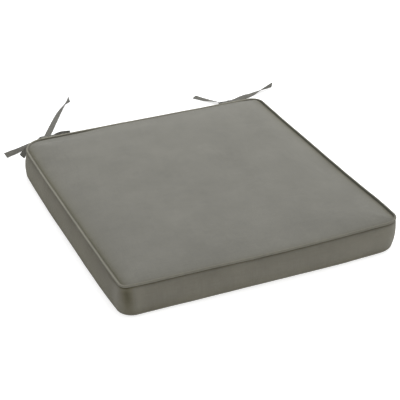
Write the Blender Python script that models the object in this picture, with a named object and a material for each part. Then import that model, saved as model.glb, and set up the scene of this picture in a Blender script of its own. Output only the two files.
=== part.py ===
"""Chair seat pad: a welted box cushion with a zipped cover, a foam core and four folded tie straps.

Frame: origin on the surface under the middle of the pad, +Z up, +Y towards the edge with the ties,
+X to the right of someone sitting on the pad's front edge and looking back. Metres.
"""
import math

import bmesh
import bpy
from mathutils import Vector

# ---- driving dimensions -------------------------------------------------------------------------
WIDTH = 0.480             # across the piping, left to right
DEPTH = 0.515             # across the piping, front to rear
CORNER_R = 0.022          # plan radius of the corners
HEIGHT = 0.060            # base to the middle of the crowned top

CLOTH = 0.0012            # canvas, as a solid sheet
GAP = 0.0003              # air left between two pieces that touch

WELT_R = 0.0024           # outside radius of the piping
WELT_INSET = WELT_R       # piping centre, in from the outline
TOP_SEAM_Z = 0.0515       # height of the upper piping centre
BOTTOM_SEAM_Z = 0.0044    # height of the lower piping centre
BAND_INSET = 0.0018       # outer face of the side band, in from the outline
SEAM_FLANGE = 0.0012      # two layers of canvas sewn together
SEAM_ALLOWANCE = 0.0104   # how far in the sewn flange reaches
PANEL_EDGE = 0.0051       # where a panel starts, inside the piping
FLAT_INSET = 0.0150       # the underside is flat inside this line
CROWN_LENGTH = 0.022      # how quickly the top panel rises from its edge

FOAM_LOW, FOAM_HIGH = 0.0088, 0.0475
FOAM_SIDE = 0.0036        # foam to outline, front and sides
FOAM_REAR = 0.0084        # foam to outline at the rear, room for the zip slider

BAND_SEAM_X = 0.206       # upright seams that join the zip placket to the long band
ZIP_Z = 0.0281            # parting line of the zip
ZIP_HALF = 0.165          # half the length of the row of teeth
COIL_PITCH = 0.005
SLIDER_X = 0.150          # slider centre when the zip is shut
SLIDER_LENGTH = 0.012
SLIDER_WIDTH = 0.009
PULL_LENGTH = 0.018
PULL_WIDTH = 0.005

TIE_WIDTH = 0.012
TIE_THICKNESS = 0.0012
TIE_ROOT_X = 0.180        # middle of each pair of straps
TIE_ROOT_STEP = 0.007     # each strap of the pair, left and right of that
TIE_UPPER_Z = 0.0476      # upper leaf of a folded strap
TIE_LOWER_Z = 0.0461      # lower leaf

# ---- tie routes: x, y, height (raised to rest on the surface where lower), twist in degrees -----
LEFT_OUT, LEFT_IN = -TIE_ROOT_X - TIE_ROOT_STEP, -TIE_ROOT_X + TIE_ROOT_STEP
RIGHT_IN, RIGHT_OUT = TIE_ROOT_X - TIE_ROOT_STEP, TIE_ROOT_X + TIE_ROOT_STEP
REAR_FACE_Y = DEPTH / 2.0 - BAND_INSET
ROOT_Y = REAR_FACE_Y + GAP

TIE_ROUTES = {
    "tie_left_long": [
        (LEFT_IN, ROOT_Y, TIE_UPPER_Z, 0), (LEFT_IN, 0.2690, 0.0470, 0), (-0.1728, 0.2820, 0.0425, 0),
        (-0.1720, 0.2945, 0.0335, 0), (-0.1712, 0.3060, 0.0225, 0), (-0.1700, 0.3175, 0.0120, 0),
        (-0.1677, 0.3300, 0.0045, 0), (-0.1640, 0.3440, 0.0, 0), (-0.1590, 0.3560, 0.0, 0),
        (-0.1431, 0.3826, 0.0, 4), (-0.1266, 0.4097, 0.0, 11), (-0.1087, 0.4379, 0.0, 23),
        (-0.0968, 0.4546, 0.0, 36), (-0.0856, 0.4685, 0.0, 53), (-0.0778, 0.4770, 0.0, 76),
        (-0.0708, 0.4849, 0.0, 106)],
    "tie_left_inner": [
        (LEFT_IN, ROOT_Y, TIE_LOWER_Z, 0), (-0.1728, 0.2660, 0.0445, 0), (-0.1712, 0.2755, 0.0375, 0),
        (-0.1690, 0.2835, 0.0280, 0), (-0.1662, 0.2910, 0.0185, 5), (-0.1640, 0.2990, 0.0110, 20),
        (-0.1628, 0.3080, 0.0080, 45), (-0.1620, 0.3180, 0.0070, 70), (-0.1590, 0.3290, 0.0072, 82),
        (-0.1520, 0.3372, 0.0078, 86), (-0.1430, 0.3412, 0.0082, 88), (-0.1330, 0.3428, 0.0082, 88),
        (-0.1245, 0.3424, 0.0080, 88), (-0.1178, 0.3403, 0.0078, 88)],
    "tie_left_outer": [
        (LEFT_OUT, ROOT_Y, TIE_UPPER_Z, 0), (LEFT_OUT, 0.2690, 0.0470, 0), (-0.1865, 0.2810, 0.0435, 0),
        (-0.1865, 0.2925, 0.0365, 0), (-0.1880, 0.3035, 0.0280, 0), (-0.1925, 0.3125, 0.0200, -10),
        (-0.2000, 0.3185, 0.0145, -12), (-0.2090, 0.3220, 0.0095, -2), (-0.2185, 0.3232, 0.0045, 10),
        (-0.2350, 0.3184, 0.0, 22), (-0.2524, 0.3110, 0.0, 28)],
    "tie_left_corner": [
        (LEFT_OUT, ROOT_Y, TIE_LOWER_Z, 0), (-0.1873, 0.2660, 0.0443, 0), (-0.1890, 0.2735, 0.0385, 0),
        (-0.1925, 0.2790, 0.0335, 5), (-0.1980, 0.2830, 0.0300, 12), (-0.2050, 0.2855, 0.0270, 22),
        (-0.2125, 0.2865, 0.0235, 32), (-0.2190, 0.2865, 0.0190, 38), (-0.2240, 0.2870, 0.0140, 40),
        (-0.2285, 0.2875, 0.0075, 40)],
    "tie_right_inner": [
        (RIGHT_IN, ROOT_Y, TIE_UPPER_Z, 0), (RIGHT_IN, 0.2690, 0.0470, 0), (0.1737, 0.2820, 0.0430, 0),
        (0.1758, 0.2945, 0.0345, 0), (0.1795, 0.3065, 0.0240, 0), (0.1850, 0.3175, 0.0145, -6),
        (0.1915, 0.3270, 0.0080, -14), (0.1965, 0.3370, 0.0045, -22), (0.1985, 0.3475, 0.0, -30),
        (0.1965, 0.3580, 0.0, -32), (0.1885, 0.3700, 0.0, -17), (0.1794, 0.3830, 0.0, -3),
        (0.1648, 0.4033, 0.0, 6)],
    "tie_right_outer": [
        (RIGHT_OUT, ROOT_Y, TIE_UPPER_Z, 0), (RIGHT_OUT, 0.2690, 0.0470, 0), (0.1880, 0.2820, 0.0430, 0),
        (0.1905, 0.2945, 0.0350, 0), (0.1950, 0.3065, 0.0255, 0), (0.2015, 0.3185, 0.0180, -4),
        (0.2095, 0.3300, 0.0125, -10), (0.2190, 0.3400, 0.0080, -16), (0.2300, 0.3485, 0.0045, -20),
        (0.2430, 0.3555, 0.0, -21), (0.2570, 0.3610, 0.0, -18), (0.2709, 0.3662, 0.0, -5),
        (0.2870, 0.3715, 0.0, 18), (0.3005, 0.3745, 0.0, 42), (0.3145, 0.3785, 0.0, 62),
        (0.3278, 0.3831, 0.0, 78)],
    "tie_right_hidden_inner": [
        (RIGHT_IN, ROOT_Y, TIE_LOWER_Z, 0), (0.1728, 0.2660, 0.0445, 0), (0.1725, 0.2755, 0.0380, 0),
        (0.1715, 0.2845, 0.0275, 0), (0.1690, 0.2930, 0.0165, 0), (0.1640, 0.3015, 0.0070, 0),
        (0.1560, 0.3085, 0.0020, 10), (0.1450, 0.3125, 0.0, 25), (0.1320, 0.3130, 0.0, 20),
        (0.1180, 0.3110, 0.0, 0)],
    "tie_right_hidden_outer": [
        (RIGHT_OUT, ROOT_Y, TIE_LOWER_Z, 0), (0.1872, 0.2660, 0.0445, 0), (0.1885, 0.2745, 0.0375, 0),
        (0.1915, 0.2815, 0.0280, 0), (0.1960, 0.2875, 0.0180, 0), (0.2025, 0.2925, 0.0085, 0),
        (0.2110, 0.2960, 0.0025, 15), (0.2210, 0.2970, 0.0, 30), (0.2320, 0.2950, 0.0, 15),
        (0.2430, 0.2910, 0.0, 0)],
}
TIE_STEP = 0.007          # length of one straight piece of a tie's solid


# ---- materials ----------------------------------------------------------------------------------
def material(name, colour, roughness, metallic=0.0):
    mat = bpy.data.materials.new(name)
    mat.use_nodes = True
    shader = mat.node_tree.nodes["Principled BSDF"]
    shader.inputs["Base Color"].default_value = (*colour, 1.0)
    shader.inputs["Roughness"].default_value = roughness
    shader.inputs["Metallic"].default_value = metallic
    mat.diffuse_color = (*colour, 1.0)
    return mat


TAUPE = (0.225, 0.220, 0.198)
DARK_TAUPE = (0.160, 0.153, 0.133)
FOAM_CREAM = (0.720, 0.640, 0.420)
FIBRE_WHITE = (0.820, 0.820, 0.800)
ZINC = (0.420, 0.410, 0.390)


# ---- mesh helpers -------------------------------------------------------------------------------
def finish(name, bm, colour, roughness, metallic=0.0, smooth_angle=35.0):
    """Turns a bmesh into a shaded object with its own material."""
    bmesh.ops.recalc_face_normals(bm, faces=bm.faces)
    mesh = bpy.data.meshes.new(name)
    bm.to_mesh(mesh)
    bm.free()
    mesh.shade_smooth()
    mesh.set_sharp_from_angle(angle=math.radians(smooth_angle))
    mesh.materials.append(material(name, colour, roughness, metallic))
    obj = bpy.data.objects.new(name, mesh)
    bpy.context.collection.objects.link(obj)
    return obj


def outline(inset, steps=6):
    """Rounded rectangle in plan, counter-clockwise, `inset` inside the line round the piping."""
    half_x = WIDTH / 2.0 - inset
    half_y = DEPTH / 2.0 - inset
    radius = max(CORNER_R - inset, 0.006)
    points = []
    corners = ((1, -1, -90), (1, 1, 0), (-1, 1, 90), (-1, -1, 180))
    for sign_x, sign_y, start in corners:
        centre_x = sign_x * (half_x - radius)
        centre_y = sign_y * (half_y - radius)
        for step in range(steps + 1):
            angle = math.radians(start + 90.0 * step / steps)
            points.append((centre_x + radius * math.cos(angle), centre_y + radius * math.sin(angle)))
    return points


def loft(bm, rings, closed=False):
    """Joins rings of equal length with quads, and caps the first and last unless closed."""
    loops = [[bm.verts.new(point) for point in ring] for ring in rings]
    pairs = list(zip(loops, loops[1:]))
    if closed:
        pairs.append((loops[-1], loops[0]))
    else:
        bm.faces.new(loops[0])
        bm.faces.new(loops[-1])
    count = len(loops[0])
    for low, high in pairs:
        for index in range(count):
            after = (index + 1) % count
            bm.faces.new((low[index], low[after], high[after], high[index]))


def plan_rings(profile):
    """Level rings of the plan outline, one for each (inset, height) of the profile."""
    return [[(x, y, height) for x, y in outline(inset)] for inset, height in profile]


def extrude_polygon(bm, points, offset):
    """Closed prism: a flat polygon moved along an offset vector."""
    near = [Vector(point) for point in points]
    far = [point + Vector(offset) for point in near]
    loft(bm, [near, far])


def box(bm, low, high):
    near = [(low[0], low[1], low[2]), (high[0], low[1], low[2]), (high[0], high[1], low[2]),
            (low[0], high[1], low[2])]
    extrude_polygon(bm, near, (0.0, 0.0, high[2] - low[2]))


# ---- cover --------------------------------------------------------------------------------------
def crown(inset):
    """Height of the top panel's outer face at a distance in from the outline."""
    edge = TOP_SEAM_Z + SEAM_FLANGE / 2.0 + GAP + CLOTH
    rise = HEIGHT - edge
    return edge + rise * (1.0 - math.exp(-(inset - PANEL_EDGE) / CROWN_LENGTH))


TOP_INSETS = (PANEL_EDGE, 0.009, 0.015, 0.025, 0.040, 0.070, 0.120)


def top_panel():
    inner = [(inset, crown(inset) - CLOTH) for inset in reversed(TOP_INSETS)]
    outer = [(inset, crown(inset)) for inset in TOP_INSETS]
    bm = bmesh.new()
    loft(bm, plan_rings(inner + outer))
    finish("top_panel", bm, TAUPE, 0.85)


def bottom_panel():
    rim = BOTTOM_SEAM_Z - SEAM_FLANGE / 2.0 - GAP
    bm = bmesh.new()
    loft(bm, plan_rings([
        (FLAT_INSET, 0.0), (PANEL_EDGE, rim - CLOTH), (PANEL_EDGE, rim), (FLAT_INSET, CLOTH)]))
    finish("bottom_panel", bm, TAUPE, 0.85)


def band_path(end_x):
    """Plan points from the rear left round the front to the rear right, as outer and inner edges."""
    outer, inner = [], []
    for edge, inset in ((outer, BAND_INSET), (inner, BAND_INSET + CLOTH)):
        points = outline(inset)
        quarter = len(points) // 4
        rear_left_first = 2 * quarter
        order = points[rear_left_first:] + points[:rear_left_first]
        rear_y = DEPTH / 2.0 - inset
        edge.append((-end_x, rear_y))
        edge.extend(order)
        edge.append((end_x, rear_y))
    return outer, inner


BAND_LOW = BOTTOM_SEAM_Z + WELT_R + GAP
BAND_HIGH = TOP_SEAM_Z - WELT_R - GAP


def front_side_band():
    outer, inner = band_path(BAND_SEAM_X)
    sections = []
    for (out_x, out_y), (in_x, in_y) in zip(outer, inner):
        sections.append([(out_x, out_y, BAND_LOW), (out_x, out_y, BAND_HIGH),
                         (in_x, in_y, BAND_HIGH), (in_x, in_y, BAND_LOW)])
    bm = bmesh.new()
    loft(bm, sections)
    finish("front_side_band", bm, TAUPE, 0.85)


SLOT_HALF_Z = 0.0023      # half the opening that shows the teeth


def rear_band(name, side):
    """One half of the zip placket. side is 1 above the zip and -1 below it."""
    end_x = BAND_SEAM_X - GAP
    slot_x = ZIP_HALF + 0.005
    slot_z = ZIP_Z + side * SLOT_HALF_Z
    meet_z = ZIP_Z + side * GAP / 2.0
    far_z = BAND_HIGH if side > 0 else BAND_LOW
    outline_points = [(-end_x, far_z), (-end_x, meet_z), (-slot_x, meet_z), (-slot_x, slot_z),
                      (slot_x, slot_z), (slot_x, meet_z), (end_x, meet_z), (end_x, far_z)]
    bm = bmesh.new()
    extrude_polygon(bm, [(x, REAR_FACE_Y, z) for x, z in outline_points], (0.0, -CLOTH, 0.0))
    finish(name, bm, TAUPE, 0.85)


def welt_section(flange_in):
    """Keyhole section of the piping: a sleeve open on its inner side, with the sewn flange."""
    outer_r, inner_r = WELT_R, WELT_R - 0.0008
    half = SEAM_FLANGE / 2.0
    start = math.asin(half / outer_r)
    slit = math.radians(14.0)
    points = [(flange_in, half)]
    steps = 10
    for step in range(steps + 1):
        angle = start + (2.0 * math.pi - 2.0 * start) * step / steps
        points.append((outer_r * math.cos(angle), outer_r * math.sin(angle)))
    points.append((flange_in, -half))
    points.append((flange_in, -half / 3.0))
    for step in range(steps + 1):
        angle = -slit - (2.0 * math.pi - 2.0 * slit) * step / steps
        points.append((inner_r * math.cos(angle), inner_r * math.sin(angle)))
    points.append((flange_in, half / 3.0))
    return points


def plan_sweep(bm, section, centre_inset, height):
    """Sweeps a section (distance in, distance up) all the way round the outline."""
    columns = [outline(centre_inset + distance_in) for distance_in, _ in section]
    rings = []
    for index in range(len(columns[0])):
        rings.append([(*column[index], height + up) for column, (_, up) in zip(columns, section)])
    loft(bm, rings, closed=True)


def welt(name, height):
    bm = bmesh.new()
    plan_sweep(bm, welt_section(SEAM_ALLOWANCE - WELT_INSET), WELT_INSET, height)
    finish(name, bm, DARK_TAUPE, 0.8)


def welt_cord(name, height):
    radius = WELT_R - 0.0008 - GAP
    sides = 8
    section = []
    for side in range(sides):
        angle = 2.0 * math.pi * (side + 0.5) / sides
        section.append((radius * math.cos(angle), radius * math.sin(angle)))
    bm = bmesh.new()
    plan_sweep(bm, section, WELT_INSET, height)
    finish(name, bm, FIBRE_WHITE, 0.9)


# ---- filling ------------------------------------------------------------------------------------
def foam_core():
    bm = bmesh.new()
    rings = plan_rings([(FOAM_SIDE, FOAM_LOW), (FOAM_SIDE, FOAM_HIGH)])
    rear_limit = DEPTH / 2.0 - FOAM_REAR
    rings = [[(x, min(y, rear_limit), z) for x, y, z in ring] for ring in rings]
    loft(bm, rings)
    bmesh.ops.remove_doubles(bm, verts=bm.verts, dist=0.00001)
    finish("foam_core", bm, FOAM_CREAM, 0.95)


WRAP_INSET = SEAM_ALLOWANCE + 0.0016


def wrap_upper():
    low = FOAM_HIGH + GAP
    clear = CLOTH + GAP
    insets = (WRAP_INSET, 0.025, 0.045, 0.090)
    upper = [(inset, crown(inset) - clear) for inset in insets]
    bm = bmesh.new()
    loft(bm, plan_rings([(insets[0], low)] + upper))
    finish("wrap_upper", bm, FIBRE_WHITE, 0.95)


def wrap_lower():
    bm = bmesh.new()
    loft(bm, plan_rings([
        (FLAT_INSET + 0.0020, CLOTH + GAP), (WRAP_INSET, 0.0034), (WRAP_INSET, FOAM_LOW - GAP)]))
    finish("wrap_lower", bm, FIBRE_WHITE, 0.95)


# ---- zip ----------------------------------------------------------------------------------------
TAPE_OUTER_Y = REAR_FACE_Y - CLOTH - GAP
TAPE_THICKNESS = 0.0006
TAPE_EDGE = 0.0008        # tape edge to parting line
TAPE_WIDTH = 0.0130
COIL_GAP = 0.0005         # tooth tip to parting line
COIL_WIDTH = 0.0015
COIL_INNER_Y = TAPE_OUTER_Y + GAP
COIL_OUTER_Y = COIL_INNER_Y + 0.0014


def zip_tape(name, side):
    edge, far = ZIP_Z + side * TAPE_EDGE, ZIP_Z + side * TAPE_WIDTH
    bm = bmesh.new()
    box(bm, (-0.200, TAPE_OUTER_Y - TAPE_THICKNESS, min(edge, far)), (0.200, TAPE_OUTER_Y, max(edge, far)))
    finish(name, bm, DARK_TAUPE, 0.8)


def zip_coil(name, side):
    """A comb: a spine along the tape with teeth towards the parting line."""
    tip, root = ZIP_Z + side * COIL_GAP, ZIP_Z + side * (COIL_GAP + 0.0008)
    back = ZIP_Z + side * (COIL_GAP + COIL_WIDTH)
    teeth = int(round(2.0 * (ZIP_HALF - 0.005) / COIL_PITCH))
    start = -teeth * COIL_PITCH / 2.0
    points = [(start, back)]
    for tooth in range(teeth):
        left = start + tooth * COIL_PITCH
        points.extend([(left, root), (left + COIL_PITCH * 0.25, tip), (left + COIL_PITCH * 0.60, tip),
                       (left + COIL_PITCH * 0.85, root)])
    points.extend([(-start, root), (-start, back)])
    bm = bmesh.new()
    extrude_polygon(bm, [(x, COIL_INNER_Y, z) for x, z in points], (0.0, COIL_OUTER_Y - COIL_INNER_Y, 0.0))
    finish(name, bm, DARK_TAUPE, 0.5)


SLIDER_FACE_Y = COIL_OUTER_Y + GAP + 0.0012
PULL_AXIS_Y = SLIDER_FACE_Y + 0.00105
CROWN_WIDTH = 0.0018
CROWN_INNER = 0.0021      # clear height under the crown
CROWN_HALF = 0.0040


def zip_slider():
    """Two plates joined by a thin web that runs between the rows, with a crown for the pull."""
    half = SLIDER_WIDTH / 2.0
    web = 0.0003
    outer_low = COIL_OUTER_Y + GAP
    inner_high = TAPE_OUTER_Y - TAPE_THICKNESS - GAP
    inner_low = inner_high - 0.0010
    section = [(inner_low, -half), (inner_high, -half), (inner_high, -web), (outer_low, -web),
               (outer_low, -half), (SLIDER_FACE_Y, -half), (SLIDER_FACE_Y, half), (outer_low, half),
               (outer_low, web), (inner_high, web), (inner_high, half), (inner_low, half)]
    left = SLIDER_X - SLIDER_LENGTH / 2.0
    bm = bmesh.new()
    extrude_polygon(bm, [(left, y, ZIP_Z + z) for y, z in section], (SLIDER_LENGTH, 0.0, 0.0))
    body = finish("zip_slider", bm, ZINC, 0.35, 1.0)

    thick = 0.0009
    base = SLIDER_FACE_Y - 0.0005
    roof = SLIDER_FACE_Y + CROWN_INNER
    arch = [(-CROWN_HALF, base), (-CROWN_HALF, roof), (-CROWN_HALF + thick, roof + thick),
            (CROWN_HALF - thick, roof + thick), (CROWN_HALF, roof), (CROWN_HALF, base),
            (CROWN_HALF - thick, base), (CROWN_HALF - thick, roof), (-CROWN_HALF + thick, roof),
            (-CROWN_HALF + thick, base)]
    bm = bmesh.new()
    extrude_polygon(bm, [(SLIDER_X + x, y, ZIP_Z - CROWN_WIDTH / 2.0) for x, y in arch],
                    (0.0, 0.0, CROWN_WIDTH))
    crown_piece = finish("slider_crown_guide", bm, ZINC, 0.35, 1.0)
    crown_piece.hide_render = True
    crown_piece.display_type = "WIRE"
    union = body.modifiers.new("crown", "BOOLEAN")
    union.operation = "UNION"
    union.solver = "EXACT"
    union.object = crown_piece
    body.location = (0.0, 0.0, 0.0)


def zip_pull():
    """Flat tab with a window: its end bar passes under the crown, and the tab lies along the chain."""
    half = PULL_WIDTH / 2.0
    bar = 0.0005
    window_end = 0.0070
    window_half = CROWN_WIDTH / 2.0 + GAP * 2.0
    tab = [(-half, bar), (half, bar), (half, -PULL_LENGTH + 0.0015), (half - 0.0015, -PULL_LENGTH),
           (-half + 0.0015, -PULL_LENGTH), (-half, -PULL_LENGTH + 0.0015)]
    window = [(-window_half, -bar), (window_half, -bar), (window_half, -window_end),
              (-window_half, -window_end)]
    bm = bmesh.new()
    extrude_polygon(bm, [(x, -bar, z) for z, x in tab], (0.0, 2.0 * bar, 0.0))
    pull = finish("zip_pull", bm, ZINC, 0.35, 1.0)
    pull.location = (SLIDER_X, PULL_AXIS_Y, ZIP_Z)
    bm = bmesh.new()
    extrude_polygon(bm, [(x, -2.0 * bar, z) for z, x in window], (0.0, 4.0 * bar, 0.0))
    cutter = finish("pull_window_guide", bm, ZINC, 0.35, 1.0)
    cutter.location = pull.location
    cutter.hide_render = True
    cutter.display_type = "WIRE"
    cut = pull.modifiers.new("window", "BOOLEAN")
    cut.operation = "DIFFERENCE"
    cut.solver = "EXACT"
    cut.object = cutter


def zip_stop(name, centre_x):
    half_x, half_z = 0.0015, 0.0020
    bm = bmesh.new()
    box(bm, (centre_x - half_x, COIL_INNER_Y, ZIP_Z - half_z), (centre_x + half_x, COIL_OUTER_Y, ZIP_Z + half_z))
    finish(name, bm, ZINC, 0.4, 1.0)


# ---- ties ---------------------------------------------------------------------------------------
def resting_height(twist):
    """Height of a strap's centreline when its lowest edge lies on the surface."""
    return (TIE_WIDTH * abs(math.sin(twist)) + TIE_THICKNESS * abs(math.cos(twist))) / 2.0 + GAP


def smooth_route(route):
    """Evenly spaced (point, twist) along a Catmull-Rom curve through the route's own points."""
    knots = []
    for x, y, lift, twist in route:
        angle = math.radians(twist)
        height = max(lift, resting_height(angle))
        knots.append(Vector((x, y, height, angle)))
    knots = [2.0 * knots[0] - knots[1]] + knots + [2.0 * knots[-1] - knots[-2]]
    dense = []
    for first, second, third, fourth in zip(knots, knots[1:], knots[2:], knots[3:]):
        for step in range(12):
            t = step / 12.0
            dense.append(0.5 * ((2.0 * second) + (third - first) * t
                                + (2.0 * first - 5.0 * second + 4.0 * third - fourth) * t ** 2
                                + (3.0 * second - first - 3.0 * third + fourth) * t ** 3))
    dense.append(knots[-2])
    spans = [(b.xyz - a.xyz).length for a, b in zip(dense, dense[1:])]
    count = max(4, round(sum(spans) / TIE_STEP))
    result, travelled, index = [dense[0]], 0.0, 0
    for number in range(1, count):
        goal = sum(spans) * number / count
        while travelled + spans[index] < goal:
            travelled += spans[index]
            index += 1
        share = (goal - travelled) / spans[index]
        result.append(dense[index].lerp(dense[index + 1], share))
    result.append(dense[-1])
    return result


def tie(name, route):
    """Flat strap with a rectangular section that twists about its own line."""
    stations = smooth_route(route)
    rings = []
    for index, station in enumerate(stations):
        before = stations[max(index - 1, 0)].xyz
        after = stations[min(index + 1, len(stations) - 1)].xyz
        along = (after - before).normalized()
        level = along.cross(Vector((0.0, 0.0, 1.0))).normalized()
        upright = level.cross(along)
        twist = station.w
        across = level * math.cos(twist) + upright * math.sin(twist)
        through = upright * math.cos(twist) - level * math.sin(twist)
        centre = station.xyz.copy()
        lowest = (abs(across.z) * TIE_WIDTH + abs(through.z) * TIE_THICKNESS) / 2.0 + GAP
        centre.z = max(centre.z, lowest)
        half_w, half_t = TIE_WIDTH / 2.0, TIE_THICKNESS / 2.0
        rings.append([centre + across * half_w + through * half_t, centre - across * half_w + through * half_t,
                      centre - across * half_w - through * half_t, centre + across * half_w - through * half_t])
    bm = bmesh.new()
    loft(bm, rings)
    finish(name, bm, DARK_TAUPE, 0.85)


# ---- build --------------------------------------------------------------------------------------
def build():
    for obj in list(bpy.data.objects):
        bpy.data.objects.remove(obj, do_unlink=True)
    top_panel()
    bottom_panel()
    front_side_band()
    rear_band("rear_band_upper", 1)
    rear_band("rear_band_lower", -1)
    welt("top_welt", TOP_SEAM_Z)
    welt("bottom_welt", BOTTOM_SEAM_Z)
    welt_cord("top_welt_cord", TOP_SEAM_Z)
    welt_cord("bottom_welt_cord", BOTTOM_SEAM_Z)
    foam_core()
    wrap_upper()
    wrap_lower()
    zip_tape("zip_tape_upper", 1)
    zip_tape("zip_tape_lower", -1)
    zip_coil("zip_coil_upper", 1)
    zip_coil("zip_coil_lower", -1)
    zip_slider()
    zip_pull()
    zip_stop("zip_stop_closed_end", ZIP_HALF - 0.003)
    zip_stop("zip_stop_open_end", -ZIP_HALF + 0.003)
    for name, route in TIE_ROUTES.items():
        tie(name, route)


build()
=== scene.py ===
"""Looks of the chair seat pad: canvas cover over foam, corded seams, rear zip and folded tie straps."""
import math

import bmesh
import bpy
import numpy as np
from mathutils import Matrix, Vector, noise


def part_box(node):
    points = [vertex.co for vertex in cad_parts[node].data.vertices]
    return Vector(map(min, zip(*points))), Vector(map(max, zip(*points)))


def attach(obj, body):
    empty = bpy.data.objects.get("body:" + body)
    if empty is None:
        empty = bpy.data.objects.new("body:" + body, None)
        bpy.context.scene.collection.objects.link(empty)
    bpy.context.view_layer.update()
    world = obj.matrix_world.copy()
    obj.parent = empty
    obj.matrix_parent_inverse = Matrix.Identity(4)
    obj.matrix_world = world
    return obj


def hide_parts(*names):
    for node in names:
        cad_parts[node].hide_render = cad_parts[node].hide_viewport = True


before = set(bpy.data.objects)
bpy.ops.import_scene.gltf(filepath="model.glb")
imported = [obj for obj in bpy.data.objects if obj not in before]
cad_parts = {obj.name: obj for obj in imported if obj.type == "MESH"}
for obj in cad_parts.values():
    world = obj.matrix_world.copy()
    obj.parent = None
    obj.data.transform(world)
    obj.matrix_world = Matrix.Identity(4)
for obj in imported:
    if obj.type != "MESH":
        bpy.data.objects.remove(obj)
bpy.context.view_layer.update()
scene = bpy.context.scene

# ---- driving sizes, read from the frame ----
TOP_LOW, TOP_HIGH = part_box("top_welt")
BASE_LOW, BASE_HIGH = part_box("bottom_welt")
COIL_LOW, COIL_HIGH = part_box("zip_coil_upper")
HALF_X, HALF_Y = TOP_HIGH.x, TOP_HIGH.y
TOP_Z = (TOP_LOW.z + TOP_HIGH.z) / 2.0
BASE_Z = (BASE_LOW.z + BASE_HIGH.z) / 2.0
WELT_R = (TOP_HIGH.z - TOP_LOW.z) / 2.0
CROWN_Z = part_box("top_panel")[1].z
REAR_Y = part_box("rear_band_upper")[1].y
ZIP_Z = (COIL_LOW.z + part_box("zip_coil_lower")[1].z) / 2.0
ZIP_HALF = COIL_HIGH.x

CELL = 0.006              # mesh spacing of the simulated cover
CLOTH = 0.0009            # thickness of the canvas sheets
WEAVE = 0.0009            # pitch of the canvas threads

TIE_WIDTH, TIE_THICKNESS = 0.012, 0.0012
GAP = 0.0003              # clearance of a strap from what it lies on
TIE_ROOT_X = 0.180        # middle of each pair of strap roots
TIE_ROOT_STEP = 0.007     # distance of each root from that middle
TIE_UPPER_Z, TIE_LOWER_Z = 0.0476, 0.0461


# ---- camera ----
def camera():
    """The view of the reference: from the front left, well above the pad, with a long lens."""
    azimuth, elevation = math.radians(-23.75), math.radians(30.02)
    distance, target = 2.2512, Vector((0.0, 0.0, 0.0150))
    back = Vector((math.sin(azimuth) * math.cos(elevation), -math.cos(azimuth) * math.cos(elevation),
                   math.sin(elevation)))
    data = bpy.data.cameras.new("camera")
    data.sensor_width = 36.0
    data.lens = 118.5
    data.clip_end = 30.0
    obj = bpy.data.objects.new("camera", data)
    scene.collection.objects.link(obj)
    obj.location = target + back * distance
    obj.rotation_euler = back.to_track_quat("Z", "Y").to_euler()
    scene.camera = obj


camera()


# ---- small functions of distance ----
def ramp(value, low, width):
    """0 up to low, 1 from low + width on, and straight between them."""
    return min(1.0, max(0.0, (value - low) / width))


def fade(distance, reach):
    """Decay from 1 at no distance to 0.37 at reach."""
    return math.exp(-distance / reach)


def bell(offset, width):
    """Smooth bump: 1 at no offset, 0.37 at width."""
    return math.exp(-(offset / width) ** 2)


# ---- mesh helpers ----
def make_object(name, verts, faces, uvs=None, material=None, smooth=True):
    """Mesh object from lists; uvs holds one (u, v) in metres for each corner of each face."""
    mesh = bpy.data.meshes.new(name)
    mesh.from_pydata([tuple(v) for v in verts], [], faces)
    if uvs is not None:
        layer = mesh.uv_layers.new(name="cloth")
        layer.data.foreach_set("uv", np.array(uvs, np.float32).reshape(-1))
    if material is not None:
        mesh.materials.append(material)
    if smooth:
        mesh.shade_smooth()
    obj = bpy.data.objects.new(name, mesh)
    scene.collection.objects.link(obj)
    return obj


def catmull(points, per_span):
    """Dense points of a Catmull-Rom curve through rows of numbers."""
    rows = [np.array(p, float) for p in points]
    rows = [2.0 * rows[0] - rows[1]] + rows + [2.0 * rows[-1] - rows[-2]]
    dense = []
    for a, b, c, d in zip(rows, rows[1:], rows[2:], rows[3:]):
        for step in range(per_span):
            t = step / per_span
            dense.append(0.5 * (2.0 * b + (c - a) * t + (2.0 * a - 5.0 * b + 4.0 * c - d) * t ** 2
                                + (3.0 * b - a - 3.0 * c + d) * t ** 3))
    dense.append(rows[-2])
    return np.array(dense)


def even_spacing(line, step, columns=3):
    """Rows along a polyline, evenly spaced by the length of its first columns."""
    lengths = np.linalg.norm(np.diff(line[:, :columns], axis=0), axis=1)
    along = np.concatenate([[0.0], np.cumsum(lengths)])
    count = max(4, int(round(along[-1] / step)))
    goals = np.linspace(0.0, along[-1], count + 1)
    return np.stack([np.interp(goals, along, line[:, k]) for k in range(line.shape[1])], 1), along[-1]


def girth_of(section):
    """Distance round a closed section to each of its points, and once round."""
    girth = [0.0]
    for (a, b), (c, d) in zip(section, section[1:] + section[:1]):
        girth.append(girth[-1] + math.hypot(c - a, d - b))
    return girth


def tube_quads(rings, count, base=0, closed=False):
    """Quads of a tube with count points in each ring; closed joins its last ring to its first."""
    quads = []
    for ring in range(rings if closed else rings - 1):
        first, second = base + ring * count, base + (ring + 1) % rings * count
        for k in range(count):
            j = (k + 1) % count
            quads.append((first + k, first + j, second + j, second + k))
    return quads


def tube_caps(rings, count, base=0):
    """Faces that close both ends of a tube."""
    last = base + (rings - 1) * count
    return [tuple(range(base + count - 1, base - 1, -1)), tuple(range(last, last + count))]


def tube_uvs(distance, girth):
    """Corners of tube_quads() in metres along and round the tube."""
    return [corner for a, b in zip(distance, distance[1:]) for low, high in zip(girth, girth[1:])
            for corner in ((a, low), (a, high), (b, high), (b, low))]


def face_outwards(obj):
    bm = bmesh.new()
    bm.from_mesh(obj.data)
    bmesh.ops.recalc_face_normals(bm, faces=bm.faces)
    bm.to_mesh(obj.data)
    bm.free()


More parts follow.
